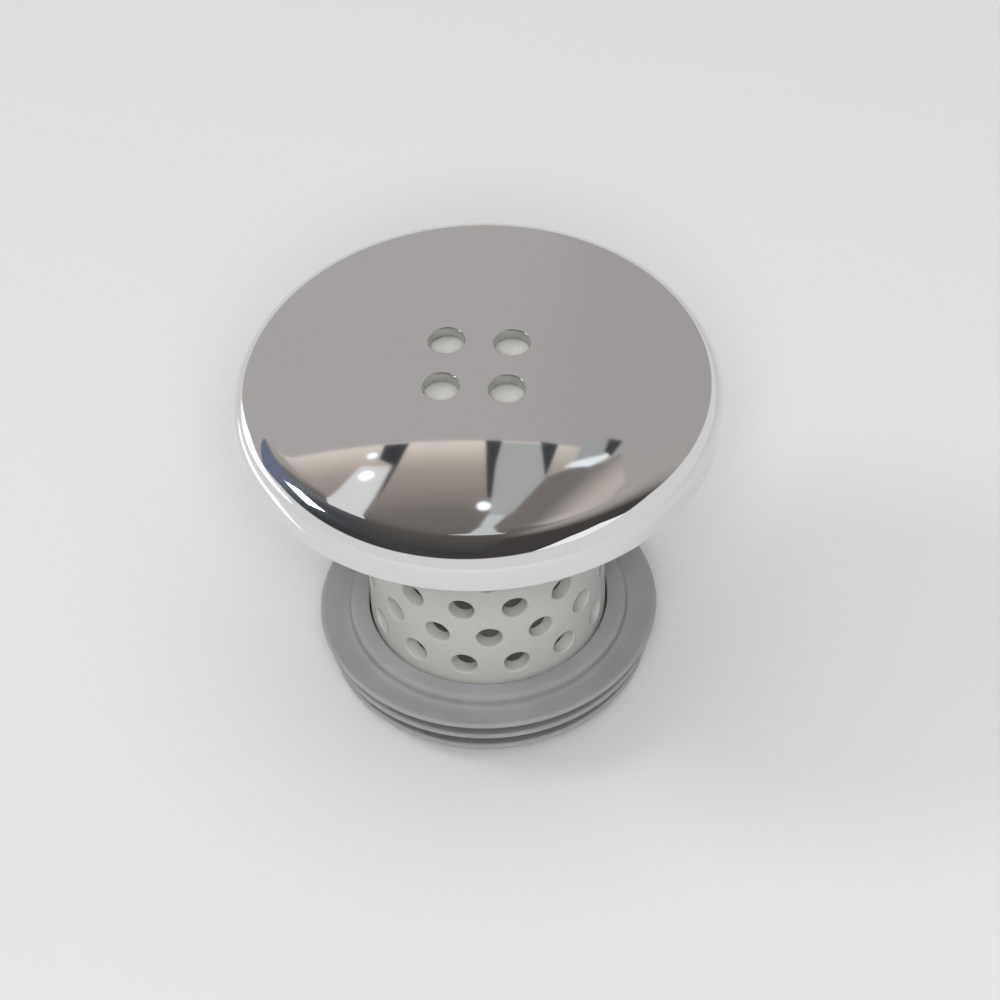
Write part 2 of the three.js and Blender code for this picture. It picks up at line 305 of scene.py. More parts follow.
def around(radius, height, angles):
    """Ring about the axis."""
    return [(radius * math.cos(a), radius * math.sin(a), height) for a in angles]


def circle(centre, radius, count):
    """Flat circle that starts towards the upper right."""
    angles = even_angles(count, EIGHTH_TURN)
    return [(centre[0] + radius * math.cos(a), centre[1] + radius * math.sin(a)) for a in angles]


def square(half, steps):
    """Flat square about the axis, counter-clockwise from its upper right corner."""
    corners = [(x * half, y * half) for x, y in SQUARE]
    points = []
    for i, start in enumerate(corners):
        points += line(start, corners[(i + 1) % 4], steps)
    return points


def turned(skin, outline, angles, closed=True):
    """Surface of revolution of an outline; a closed outline joins back to its first point."""
    indices = skin.rings([around(r, z, angles) for r, z in outline])
    if closed:
        skin.strip(indices[-1], indices[0])


def rounded(corners, radii, steps=5):
    """Closed outline with each corner rounded by its radius."""
    points = []
    count = len(corners)
    for i, (corner, radius) in enumerate(zip(corners, radii)):
        here = np.array(corner, float)
        before = np.array(corners[i - 1], float) - here
        after = np.array(corners[(i + 1) % count], float) - here
        before /= np.linalg.norm(before)
        after /= np.linalg.norm(after)
        half = math.acos(np.clip(before @ after, -1, 1)) / 2
        reach = radius / math.tan(half)
        middle = here + (before + after) / np.linalg.norm(before + after) * radius / math.sin(half)
        first = here + before * reach - middle
        last = here + after * reach - middle
        turn = math.atan2(first[0] * last[1] - first[1] * last[0], first @ last)
        base = math.atan2(first[1], first[0])
        points += arc(*middle, radius, base, base + turn, steps)
    return points


# Cap


def dome_height(x, y, depth=0.0):
    return DOME_CENTRE + math.sqrt((DOME_RADIUS - depth) ** 2 - x * x - y * y)


def hole_rim(hole, radius):
    return circle(hole, radius, 4 * CELL_SIDE)


def square_cell(hole, boss_reach=0.0):
    """Boundary of the square cell round a hole, counter-clockwise from its upper right corner.

    Where boss_reach is set, the corner on the axis is cut by a quarter circle of that radius."""
    corners = [(hole[0] + x * HALF_PITCH, hole[1] + y * HALF_PITCH) for x, y in SQUARE]
    points = []
    cut_steps = round(CELL_SIDE * (HOLE_PITCH - boss_reach) / HOLE_PITCH)
    for i, start in enumerate(corners):
        end = corners[(i + 1) % 4]
        direction = ((end[0] - start[0]) / HOLE_PITCH, (end[1] - start[1]) / HOLE_PITCH)
        if boss_reach and math.hypot(*end) < TINY:
            stop = (end[0] - direction[0] * boss_reach, end[1] - direction[1] * boss_reach)
            points += line(start, stop, cut_steps)
            after = corners[(i + 2) % 4]
            first = math.atan2(stop[1], stop[0])
            last = math.atan2(after[1], after[0])
            turn = (last - first + math.pi) % TAU - math.pi
            steps = 2 * (CELL_SIDE - cut_steps)
            points += arc(0, 0, boss_reach, first, first + turn, steps)[:-1]
        elif boss_reach and math.hypot(*start) < TINY:
            begin = (direction[0] * boss_reach, direction[1] * boss_reach)
            points += line(begin, end, cut_steps)
        else:
            points += line(start, end, CELL_SIDE)
    return points


def cap_face(skin, depth, boss_reach=0.0):
    """Dome surface from the four holes out to the block's circle, at a depth under the outside."""

    def between(inner, outer, shares):
        rows = []
        for t in shares:
            ring = [(a[0] + (b[0] - a[0]) * t, a[1] + (b[1] - a[1]) * t) for a, b in zip(inner, outer)]
            rows.append([(x, y, dome_height(x, y, depth)) for x, y in ring])
        return rows

    for hole in HOLE_CENTRES:
        rim = hole_rim(hole, HOLE_RADIUS + HOLE_EDGE)
        skin.rings(between(rim, square_cell(hole, boss_reach), CELL_SHARES))
    block = square(HOLE_PITCH, 2 * CELL_SIDE)
    skin.rings(between(block, circle((0, 0), BLOCK_CIRCLE, 8 * CELL_SIDE), CROWN_SHARES))


def cap_hole_walls(skin):
    """Walls of the flow holes, rounded over at the outside and at the underside."""
    turns = [RIGHT_ANGLE * s / HOLE_EDGE_STEPS for s in range(HOLE_EDGE_STEPS + 1)]

    def edge(hole, turn, depth, rise):
        face = hole_rim(hole, HOLE_RADIUS + HOLE_EDGE)
        ring = hole_rim(hole, HOLE_RADIUS + HOLE_EDGE * (1 - math.sin(turn)))
        step = rise * HOLE_EDGE * (1 - math.cos(turn))
        return [(x, y, dome_height(*at, depth) + step) for (x, y), at in zip(ring, face)]

    for hole in HOLE_CENTRES:
        outside = [edge(hole, turn, 0.0, -1) for turn in turns]
        underside = [edge(hole, turn, CAP_WALL, 1) for turn in reversed(turns)]
        skin.rings(outside + underside)


def cap_outline():
    """Profile of the cap from the block's circle, over the rim, to the same circle underneath."""
    under = DOME_RADIUS - CAP_WALL
    crown_start = math.acos(BLOCK_CIRCLE / DOME_RADIUS)
    outline = arc(0, DOME_CENTRE, DOME_RADIUS, crown_start, DOME_END, steps=16)
    outline += arc(EDGE_CENTRE, BAND_TOP, EDGE_RADIUS, DOME_END, 0, steps=32)[1:]
    lower = RIM + LOWER_RADIUS
    outline += line((CAP_RADIUS, BAND_TOP), (CAP_RADIUS, lower), steps=4)[1:]
    outline += arc(CAP_RADIUS - LOWER_RADIUS, lower, LOWER_RADIUS, 0, -RIGHT_ANGLE, steps=12)
    inner_rim = CAP_RADIUS - CAP_WALL + INNER_RADIUS
    outline += arc(inner_rim, RIM + INNER_RADIUS, INNER_RADIUS, -RIGHT_ANGLE, -math.pi, steps=8)
    outline += arc(EDGE_CENTRE, BAND_TOP, EDGE_RADIUS - CAP_WALL, 0, DOME_END, steps=14)
    outer_start = COLLAR_OUTER + COLLAR_FILLET
    outline += arc(0, DOME_CENTRE, under, DOME_END, math.acos(outer_start / under), steps=10)[1:]
    outer_z = dome_height(outer_start, 0, CAP_WALL) - COLLAR_FILLET
    outline += arc(outer_start, outer_z, COLLAR_FILLET, RIGHT_ANGLE, math.pi, steps=5)[1:]
    bottom = dome_height(COLLAR_OUTER, 0, CAP_WALL) - COLLAR_DEPTH + COLLAR_EDGE
    outline += arc(COLLAR_OUTER - COLLAR_EDGE, bottom, COLLAR_EDGE, 0, -RIGHT_ANGLE, steps=5)
    outline += arc(COLLAR_INNER + COLLAR_EDGE, bottom, COLLAR_EDGE, -RIGHT_ANGLE, -math.pi, steps=5)
    inner_start = COLLAR_INNER - COLLAR_FILLET
    inner_z = dome_height(inner_start, 0, CAP_WALL) - COLLAR_FILLET
    outline += arc(inner_start, inner_z, COLLAR_FILLET, 0, RIGHT_ANGLE, steps=5)
    start, end = math.acos(inner_start / under), math.acos(BLOCK_CIRCLE / under)
    return outline + arc(0, DOME_CENTRE, under, start, end, steps=5)[1:]


def cap_boss(skin):
    """Screw boss under the cap's centre with its pilot hole."""
    # Its points are those of the cut corners of the cells round it
    cells = [point for hole in HOLE_CENTRES for point in square_cell(hole, BOSS_REACH)]
    angles = [math.atan2(y, x) % TAU for x, y in cells if abs(math.hypot(x, y) - BOSS_REACH) < TINY]
    angles = sorted(set(round(a, ANGLE_DIGITS) for a in angles if a < TAU - TINY))
    ceiling = dome_height(BOSS_REACH, 0, CAP_WALL)
    bottom = APEX - CAP_WALL - BOSS_LENGTH + BOSS_EDGE
    outline = arc(BOSS_REACH, ceiling - BOSS_FILLET, BOSS_FILLET, RIGHT_ANGLE, math.pi, steps=6)
    outline += arc(BOSS_RADIUS - BOSS_EDGE, bottom, BOSS_EDGE, 0, -RIGHT_ANGLE, steps=4)
    outline += arc(PILOT_RADIUS + BOSS_EDGE, bottom, BOSS_EDGE, -RIGHT_ANGLE, -math.pi, steps=4)
    outline += [(PILOT_RADIUS, SCREW_HIGH.z + PILOT_GAP)]
    indices = skin.rings([around(r, z, angles) for r, z in outline])
    skin.cap(indices[-1])


def rib_top(r):
    """Height at which a rib ends inside the cap's wall."""
    if r < DOME_RADIUS * math.cos(DOME_END):
        return dome_height(r, 0, RIB_TOP_DEPTH)
    return BAND_TOP + math.sqrt((EDGE_RADIUS - RIB_TOP_DEPTH) ** 2 - (r - EDGE_CENTRE) ** 2)


def cap_ribs(skin):
    """Thin stiffening ribs from the collar to the rim, rooted in the cap's wall."""
    half = RIB_THICKNESS / 2
    inset = half - RIB_EDGE
    bottom = dome_height(COLLAR_OUTER, 0, CAP_WALL) - RIB_DEPTH + RIB_EDGE
    for i in range(RIB_COUNT):
        turn = TAU * (i + 0.5) / RIB_COUNT
        c, s = math.cos(turn), math.sin(turn)
        rows = []
        for r in np.linspace(RIB_START, RIB_END, RIB_SECTIONS):
            top = max(rib_top(r), bottom + RIB_EDGE + RIB_LEAST_SIDE)
            section = [(half, top)]
            section += arc(inset, bottom, RIB_EDGE, 0, -RIGHT_ANGLE, steps=4)
            section += arc(-inset, bottom, RIB_EDGE, -RIGHT_ANGLE, -math.pi, steps=4)
            section += [(-half, top)]
            rows.append([(r * c - w * s, r * s + w * c, z) for w, z in section])
        indices = skin.rings(rows)
        skin.cap(indices[0], flip=True)
        skin.cap(indices[-1])


def make_cap():
    skin = Skin()
    cap_face(skin, 0.0)
    cap_face(skin, CAP_WALL, BOSS_REACH)
    cap_hole_walls(skin)
    turned(skin, cap_outline(), even_angles(8 * CELL_SIDE, EIGHTH_TURN), closed=False)
    cap_boss(skin)
    cap_ribs(skin)
    return skin.piece("cap_shell")


# Stem


def cell_frame():
    """Points round the square from -1 to 1, each with its direction on the hole's rim."""
    points = square(1, STEM_CELL_SIDE)
    return [(u, v, d) for (u, v), d in zip(points, even_angles(len(points), EIGHTH_TURN))]


def pierced(boundary, hole, radius, edge, thickness):
    """Rings of a cell from its outer face, through a hole with rounded edges, to its inner face.

    boundary(share, depth) goes from the hole's edge at share 0 to the cell's sides at share 1."""
    turns = [RIGHT_ANGLE * s / STEM_EDGE_STEPS for s in range(1, STEM_EDGE_STEPS + 1)]
    rounding = [(edge * (1 - math.sin(a)), edge * (1 - math.cos(a))) for a in turns]
    rows = [boundary(share, 0.0) for share in STEM_SHARES]
    rows += [hole(radius + grow, depth) for grow, depth in rounding]
    rows += [hole(radius + grow, thickness - depth) for grow, depth in reversed(rounding)]
    rows += [boundary(share, thickness) for share in reversed(STEM_SHARES)]
    return rows


def stem_cell(angle, height, half_turn):
    """One perforated cell of the tube's wall."""
    points = cell_frame()
    reach = PERFORATION_RADIUS + PERFORATION_EDGE

    def wrapped(u, v, depth):
        a = angle + u / TUBE_RADIUS
        radius = TUBE_RADIUS - depth
        return (radius * math.cos(a), radius * math.sin(a), height + v)

    def boundary(share, depth):
        ring = []
        for u, v, d in points:
            across = reach * math.cos(d) * (1 - share) + u * half_turn * TUBE_RADIUS * share
            up = reach * math.sin(d) * (1 - share) + v * ROW_PITCH / 2 * share
            ring.append(wrapped(across, up, depth))
        return ring

    def hole(radius, depth):
        return [wrapped(radius * math.cos(d), radius * math.sin(d), depth) for _, _, d in points]

    return pierced(boundary, hole, PERFORATION_RADIUS, PERFORATION_EDGE, TUBE_RADIUS - BORE_RADIUS)


def plate_cell(angle, half_turn):
    """One cell of the plate across the stem's top, with its drain hole."""
    points = cell_frame()
    low, high = DRAIN_BAND
    out = (math.cos(angle), math.sin(angle))

    def hole(radius, depth):
        ring = []
        for _, _, d in points:
            across, along = -radius * math.cos(d), DRAIN_RING + radius * math.sin(d)
            x = along * out[0] + across * out[1]
            y = along * out[1] - across * out[0]
            ring.append((x, y, TUBE_TOP - depth))
        return ring

    def boundary(share, depth):
        ring = []
        for (u, v, _), (x, y, z) in zip(points, hole(DRAIN_RADIUS + DRAIN_EDGE, depth)):
            a = angle + u * half_turn
            radius = (low + high) / 2 + v * (high - low) / 2
            side_x, side_y = radius * math.cos(a), radius * math.sin(a)
            ring.append((x + (side_x - x) * share, y + (side_y - y) * share, z))
        return ring

    return pierced(boundary, hole, DRAIN_RADIUS, DRAIN_EDGE, PLATE_THICKNESS)


def stem_foot(first):
    """Profile from the outside of the lowest cells round the foot to their inside."""
    edge = STEM_EDGE
    outline = line((TUBE_RADIUS, first), (TUBE_RADIUS, FOOT_TOP + edge), steps=5)
    outline += arc(TUBE_RADIUS + edge, FOOT_TOP + edge, edge, math.pi, 1.5 * math.pi, steps=5)
    outline += arc(FOOT_RADIUS - edge, FOOT_TOP - edge, edge, RIGHT_ANGLE, 0, steps=5)
    outline += arc(FOOT_RADIUS - edge, FOOT_BOTTOM + edge, edge, 0, -RIGHT_ANGLE, steps=5)
    outline += arc(BORE_RADIUS + edge, FOOT_BOTTOM + edge, edge, -RIGHT_ANGLE, -math.pi, steps=5)
    return outline + [(BORE_RADIUS, first)]


def stem_shoulder(last):
    """Profiles from the highest cells to the plate's cells, outside and inside."""
    edge, fillet = STEM_EDGE, STEM_FILLET
    outside = line((TUBE_RADIUS, last), (TUBE_RADIUS, TUBE_TOP - edge), steps=4)
    outside += arc(TUBE_RADIUS - edge, TUBE_TOP - edge, edge, 0, RIGHT_ANGLE, steps=5)
    outside += [(BORE_RADIUS, TUBE_TOP), (DRAIN_BAND[1], TUBE_TOP)]
    inside = [(DRAIN_BAND[1], PLATE_BOTTOM)]
    inside += arc(BORE_RADIUS - fillet, PLATE_BOTTOM - fillet, fillet, RIGHT_ANGLE, 0, steps=5)
    return outside, inside + [(BORE_RADIUS, last)]


def stem_socket():
    """Profile from the plate's cells over the pad, into the boss socket and back up round its outside."""
    edge, fillet = SOCKET_EDGE, STEM_FILLET
    outer = SOCKET_RADIUS + SOCKET_WALL
    outline = [(DRAIN_BAND[0], TUBE_TOP), (PAD_RADIUS, TUBE_TOP)]
    outline += arc(PAD_RADIUS - edge, PAD_TOP - edge, edge, 0, RIGHT_ANGLE, steps=4)
    outline += line((PAD_RADIUS - edge, PAD_TOP), (SOCKET_RADIUS + edge, PAD_TOP), steps=4)[1:]
    outline += arc(SOCKET_RADIUS + edge, PAD_TOP - edge, edge, RIGHT_ANGLE, math.pi, steps=4)
    outline += arc(SOCKET_RADIUS - edge, FLOOR_TOP + edge, edge, 0, -RIGHT_ANGLE, steps=4)
    outline += arc(SHANK_HOLE + edge, FLOOR_TOP - edge, edge, RIGHT_ANGLE, math.pi, steps=4)
    outline += arc(SHANK_HOLE + edge, FLOOR_BOTTOM + edge, edge, math.pi, 1.5 * math.pi, steps=4)
    outline += arc(outer - edge, FLOOR_BOTTOM + edge, edge, -RIGHT_ANGLE, 0, steps=4)
    outline += arc(outer + fillet, PLATE_BOTTOM - fillet, fillet, math.pi, RIGHT_ANGLE, steps=5)
    return outline + [(DRAIN_BAND[0], PLATE_BOTTOM)]


def make_stem():
    skin = Skin()
    half_turn = math.pi / COLUMNS
    for column in range(COLUMNS):
        for row in range(ROWS):
            # Every second row is turned by half a cell
            angle = (2 * column + row % 2 + 0.5) * half_turn
            skin.rings(stem_cell(angle, FIRST_ROW + row * ROW_PITCH, half_turn))
        skin.rings(plate_cell((2 * column + 0.5) * half_turn, half_turn))
    # The turned stretches start at a cell's side, so that their points meet those of the cells
    angles = even_angles(COLUMNS * STEM_CELL_SIDE, 1.5 * half_turn)
    outside, inside = stem_shoulder(FIRST_ROW + (ROWS - 0.5) * ROW_PITCH)
    for outline in (stem_foot(FIRST_ROW - ROW_PITCH / 2), outside, inside, stem_socket()):
        turned(skin, outline, angles, closed=False)
    return skin.piece("stem_tube")


# Seal, washer and screw


def lip_outline(radius, root):
    """Profile of one flared lip, from the sleeve below it, round its tip, to the sleeve above it."""
    tip = LIP_TIP / 2
    reach = radius - tip - SEAL_CORE
    start = LIP_FILLET / reach
    shares = [start + (1 - start) * k / LIP_STEPS for k in range(1, LIP_STEPS)]
    top = root + LIP_ROOT
    low_rise = LIP_FLARE + LIP_ROOT / 2 - tip
    high_rise = LIP_FLARE - LIP_ROOT / 2 + tip
    outline = [(SEAL_CORE + out, root + up) for out, up in FILLET_BELOW]
    outline += [(SEAL_CORE + reach * t, root + low_rise * t**LIP_CURVE) for t in shares]
    middle = root + LIP_ROOT / 2 + LIP_FLARE
    outline += arc(radius - tip, middle, tip, -RIGHT_ANGLE, RIGHT_ANGLE, steps=10)
    outline += [(SEAL_CORE + reach * t, top + high_rise * t**LIP_CURVE) for t in reversed(shares)]
    return outline + [(SEAL_CORE + out, top + up) for out, up in FILLET_ABOVE]


def make_seal():
    top = SEAL_HIGH.z
    foot, outer, inner = SEAL_FOOT_EDGE, SEAL_OUTER_EDGE, SEAL_INNER_EDGE
    outline = arc(SEAL_BORE + foot, foot, foot, math.pi, 1.5 * math.pi, steps=5)
    outline += arc(SEAL_CORE - outer, outer, outer, -RIGHT_ANGLE, 0, steps=8)
    for index in range(LIP_COUNT):
        radius = SEAL_HIGH.x - (LIP_COUNT - 1 - index) * LIP_STEP
        outline += lip_outline(radius, LIP_FIRST + index * LIP_PITCH)
    outline += arc(SEAL_CORE - outer, top - outer, outer, 0, RIGHT_ANGLE, steps=8)
    outline += arc(SEAL_GRIP + inner, top - inner, inner, RIGHT_ANGLE, math.pi, steps=5)
    outline += [(SEAL_GRIP, SEAL_POCKET_TOP), (SEAL_POCKET, SEAL_POCKET_TOP), (SEAL_POCKET, SEAL_FLOOR)]
    outline += arc(SEAL_BORE + inner, SEAL_FLOOR - inner, inner, RIGHT_ANGLE, math.pi, steps=4)
    skin = Skin()
    turned(skin, outline, even_angles(TURN_STEPS))
    return skin.piece("seal_boot")


def make_washer():
    inner, outer = WASHER_BORE, WASHER_HIGH.x
    low, high = WASHER_LOW.z, WASHER_HIGH.z
    corners = [(inner, low), (outer, low), (outer, high), (inner, high)]
    skin = Skin()
    turned(skin, rounded(corners, WASHER_EDGES), even_angles(SMALL_TURN_STEPS))
    return skin.piece("washer_ring")


def thread_radius(height, angle, fade):
    """Radius of the shank, with one ridge that winds up it."""
    phase = (height / THREAD_PITCH - angle / TAU) % 1.0
    ridge = max(0.0, 1 - abs(phase - 0.5) / THREAD_SPREAD)
    return THREAD_ROOT + (THREAD_CREST - THREAD_ROOT) * ridge * fade


def make_screw():
    head_radius = SCREW_HIGH.x
    head_top = WASHER_LOW.z - HEAD_GAP
    low, tip = SCREW_LOW.z, SCREW_HIGH.z
    angles = even_angles(SMALL_TURN_STEPS)
    head = arc(head_radius - HEAD_ROUND, low + HEAD_ROUND, HEAD_ROUND, -RIGHT_ANGLE, 0, steps=10)
    head += arc(head_radius - HEAD_EDGE, head_top - HEAD_EDGE, HEAD_EDGE, 0, RIGHT_ANGLE, steps=4)
    head += [(NECK_RADIUS, head_top)]
    rows = [around(r, z, angles) for r, z in head]
    for z in np.linspace(head_top + SHANK_START, tip, SHANK_SECTIONS):
        # The ridge grows from the head and shrinks again to the tip
        fade = min(1.0, (z - head_top) / THREAD_RUN_IN, (tip - z) / THREAD_RUN_OUT + THREAD_TIP)
        ring = []
        for a in angles:
            r = thread_radius(z, a, fade)
            ring.append((r * math.cos(a), r * math.sin(a), z))
        rows.append(ring)
    skin = Skin()
    indices = skin.rings(rows)
    skin.cap(indices[-1])
    cross_recess(skin, indices[0], angles, low)
    return skin.piece("pan_head_screw")


def cross_recess(skin, rim, angles, low):
    """Flat of the pan head with a tapered cross-shaped driver recess."""

    def cross(length, width, z):
        ring = []
        for a in angles:
            c, s = abs(math.cos(a)), abs(math.sin(a))
            reach = min(length / max(c, s), width / max(min(c, s), TINY))
            ring.append((reach * math.cos(a), reach * math.sin(a), z))
        return ring

    top = skin.ring(cross(*RECESS_TOP, low))
    floor = skin.ring(cross(*RECESS_FLOOR, low + RECESS_DEPTH))
    skin.strip(top, rim)
    skin.strip(floor, top)
    skin.cap(floor)


# Materials


class Nodes:
    """A node tree, built from short calls."""

    def __init__(self, tree):
        self.tree = tree

    def add(self, kind, **values):
        """Adds a node; each value sets the socket of that name, or else the node's own property."""
        node = self.tree.nodes.new(kind)
        for key, value in values.items():
            if key in node.inputs:
                node.inputs[key].default_value = value
            else:
                setattr(node, key, value)
        return node

    def link(self, source, target):
        self.tree.links.new(source, target)

    def feed(self, target, value):
        """Links a socket to a target, or sets the target to a plain value."""
        if isinstance(value, bpy.types.NodeSocket):
            self.link(value, target)
        else:
            target.default_value = value

    def math(self, operation, first, second=0.0):
        node = self.add("ShaderNodeMath", operation=operation)
        self.feed(node.inputs[0], first)
        self.feed(node.inputs[1], second)
        return node.outputs[0]

    def mix(self, share, first, second):
        """Colour that goes from first to second as share goes from 0 to 1."""
        node = self.add("ShaderNodeMix", data_type="RGBA")
        self.feed(node.inputs["Factor"], share)
        self.feed(node.inputs[6], first)
        self.feed(node.inputs[7], second)
        return node.outputs[2]

    def blend(self, share, first, second):
        """Shader that goes from first to second as share goes from 0 to 1."""
        node = self.add("ShaderNodeMixShader")
        self.link(share, node.inputs["Fac"])
        self.link(first.outputs[0], node.inputs[1])
        self.link(second.outputs[0], node.inputs[2])
        return node

    def spread(self, value, low, high, to_low=0.0, to_high=1.0):
        """Value that goes smoothly from to_low at low to to_high at high."""
        node = self.add("ShaderNodeMapRange", interpolation_type="SMOOTHSTEP")
        self.feed(node.inputs["Value"], value)
        node.inputs["From Min"].default_value = low
        node.inputs["From Max"].default_value = high
        node.inputs["To Min"].default_value = to_low
        node.inputs["To Max"].default_value = to_high
        return node.outputs["Result"]

    def axes(self, vector):
        node = self.add("ShaderNodeSeparateXYZ")
        self.link(vector, node.inputs["Vector"])
        return node.outputs

    def ramp(self, source, stops):
        node = self.add("ShaderNodeValToRGB")
        ramp = node.color_ramp
        while len(ramp.elements) < len(stops):
            ramp.elements.new(0.5)
        for element, (position, colour) in zip(ramp.elements, stops):
            element.position = position
            element.color = (*colour, 1.0)
        self.link(source, node.inputs["Fac"])
        return node.outputs["Color"]


class Finish(Nodes):
    """A material round the Principled shader."""

    def __init__(self, name):
        self.material = bpy.data.materials.new(name)
        self.material.use_nodes = True
        super().__init__(self.material.node_tree)
        self.shader = self.tree.nodes["Principled BSDF"]
        self.where = self.add("ShaderNodeTexCoord").outputs["Object"]

    def set(self, socket, value):
        self.feed(self.shader.inputs[socket], value)

    def noise(self, scale, detail):
        node = self.add("ShaderNodeTexNoise", Scale=scale, Detail=detail)
        self.link(self.where, node.inputs["Vector"])
        return node.outputs["Fac"]

    def tones(self, noise, dark, light):
        """Colour that follows a noise between two tones."""
        return self.ramp(noise, [(0.3, dark), (0.7, light)])

    def bump(self, height, strength, distance):
        node = self.add("ShaderNodeBump", Strength=strength, Distance=distance)
        self.link(height, node.inputs["Height"])
        self.set("Normal", node.outputs["Normal"])


# Walls of the cap's flow holes: a darker colour painted on as painted shade, and a duller gloss
HOLE_WALL_PAINTED_SHADE = (0.5, 0.52, 0.49, 1.0)
HOLE_ROUGHNESS = 0.06


def shade(colour, share):
    return tuple(min(1.0, c * share) for c in colour)


def chrome(name, colour, roughness):
    """Bright plating: a mirror with faint drying marks and slight waviness, duller in the holes, whose walls
    get a darker colour as painted shade.
    """
    made = Finish(name)
    made.set("Metallic", 1.0)
    tint = made.tones(made.noise(scale=60.0, detail=2.0), shade(colour, 0.985), colour)
    x, y, _ = made.axes(made.where)
    away = [made.math("SUBTRACT", made.math("ABSOLUTE", axis), HALF_PITCH * MM) for axis in (x, y)]
    squares = [made.math("MULTIPLY", offset, offset) for offset in away]
    from_hole = made.math("SQRT", made.math("ADD", *squares))
    in_hole = made.spread(from_hole, low=(HOLE_RADIUS + HOLE_EDGE / 2) * MM, high=HOLE_RADIUS * MM)
    # The hole walls' darker colour is painted shade
    made.set("Base Color", made.mix(in_hole, tint, HOLE_WALL_PAINTED_SHADE))
    marks = made.noise(scale=420.0, detail=4.0)
    marks = made.spread(marks, low=0.45, high=0.75, to_low=roughness, to_high=1.3 * roughness)
    made.set("Roughness", made.math("ADD", marks, made.math("MULTIPLY", in_hole, HOLE_ROUGHNESS)))
    made.bump(made.noise(scale=35.0, detail=1.0), strength=0.02, distance=0.0001)
    return made.material


def plastic(name, colour):
    """Pale satin moulded plastic: a fine speckle in its colour, a fine mould grain and an even gloss."""
    made = Finish(name)
    made.set("IOR", 1.5)
    made.set("Base Color", made.tones(made.noise(scale=1600.0, detail=2.0), shade(colour, 0.96), colour))
    gloss = made.noise(scale=110.0, detail=1.0)
    made.set("Roughness", made.spread(gloss, low=0.3, high=0.75, to_low=0.29, to_high=0.33))
    made.bump(made.noise(scale=1500.0, detail=1.0), strength=0.03, distance=0.00002)
    return made.material


def stainless(name, colour):
    """Plain turned stainless steel with fine grain."""
    made = Finish(name)
    made.set("Metallic", 1.0)
    made.set("Base Color", made.tones(made.noise(scale=900.0, detail=3.0), shade(colour, 0.9), colour))
    gloss = made.noise(scale=2500.0, detail=2.0)
    made.set("Roughness", made.spread(gloss, low=0.3, high=0.7, to_low=0.22, to_high=0.38))
    made.bump(made.noise(scale=3000.0, detail=2.0), strength=0.08, distance=0.00003)
    return made.material


def silicone(name, colour):
    """Moulded silicone: soft grey, a little light through the thin lips, fine moulded grain."""
    made = Finish(name)
    made.set("Subsurface Weight", 0.25)
    made.set("Subsurface Scale", 0.002)
    made.set("Subsurface Radius", (1.0, 0.95, 0.9))
    made.set("IOR", 1.41)
    cloud = made.noise(scale=120.0, detail=4.0)
    made.set("Base Color", made.tones(cloud, shade(colour, 0.92), shade(colour, 1.05)))
    gloss = made.noise(scale=700.0, detail=3.0)
    made.set("Roughness", made.spread(gloss, low=0.3, high=0.7, to_low=0.42, to_high=0.56))
    made.bump(made.noise(scale=4000.0, detail=2.0), strength=0.15, distance=0.00002)
    return made.material


def dress(piece, material, body, slot, *nodes):
    piece.data.materials.clear()
    piece.data.materials.append(material)
    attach(piece, body)
    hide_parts(*nodes)


CAP_CHROME = chrome("cap_chrome", (0.79, 0.79, 0.79), roughness=0.035)
STEM_PLASTIC = plastic("stem_plastic", (0.6, 0.59, 0.56))
SEAL_SILICONE = silicone("seal_silicone", (0.36, 0.37, 0.38))
WASHER_STEEL = stainless("washer_steel", (0.62, 0.61, 0.59))
SCREW_STEEL = stainless("screw_steel", (0.6, 0.59, 0.57))

dress(make_cap(), CAP_CHROME, "strainer", "cap_chrome", "cap")
dress(make_stem(), STEM_PLASTIC, "strainer", "stem_plastic", "strainer_stem")
dress(make_seal(), SEAL_SILICONE, "seal", "seal_silicone", "seal_skirt")
dress(make_washer(), WASHER_STEEL, "strainer", "washer_steel", "screw_washer")
dress(make_screw(), SCREW_STEEL, "strainer", "screw_steel", "cap_screw")


# Stage, in metres: pale floor, soft light, and the plain room that the chrome mirrors

WHITE = (1.0, 1.0, 1.0, 1.0)
HORIZON_WHITE = (0.77, 0.77, 0.77, 1.0)
FLOOR_COLOUR = (0.8, 0.8, 0.8, 1.0)
FLOOR_LEVEL = cad_box[0][2]
FLOOR_REACH = 4.0
# Distances from the axis between which the mirrored floor passes into the surround
FLOOR_FADE = (0.25, 0.8)


def flat_piece(name, corners, material):
    mesh = bpy.data.meshes.new(name)
    mesh.from_pydata(corners, [], [tuple(range(len(corners)))])
    mesh.materials.append(material)
    obj = bpy.data.objects.new(name, mesh)
    bpy.context.scene.collection.objects.link(obj)
    return obj


def make_floor():
    made = Finish("floor_white")
    made.set("Base Color", FLOOR_COLOUR)
    made.set("Roughness", 0.6)
    made.set("Specular IOR Level", 0.1)
    # Mirrored from far off, the floor is as white as the surround behind it
    far = made.add("ShaderNodeVectorMath", operation="LENGTH")
    made.link(made.where, far.inputs[0])
    mirrored = made.add("ShaderNodeLightPath").outputs["Is Glossy Ray"]
    share = made.math("MULTIPLY", mirrored, made.spread(far.outputs["Value"], *FLOOR_FADE))
    surround = made.add("ShaderNodeEmission", Color=HORIZON_WHITE, Strength=1.0)
    seen = made.blend(share, made.shader, surround)
    made.link(seen.outputs[0], made.tree.nodes["Material Output"].inputs["Surface"])
    corners = [(x * FLOOR_REACH, y * FLOOR_REACH, FLOOR_LEVEL) for x, y in SQUARE]
    flat_piece("floor", corners, made.material)


HALF_TURN_DEGREES = 180
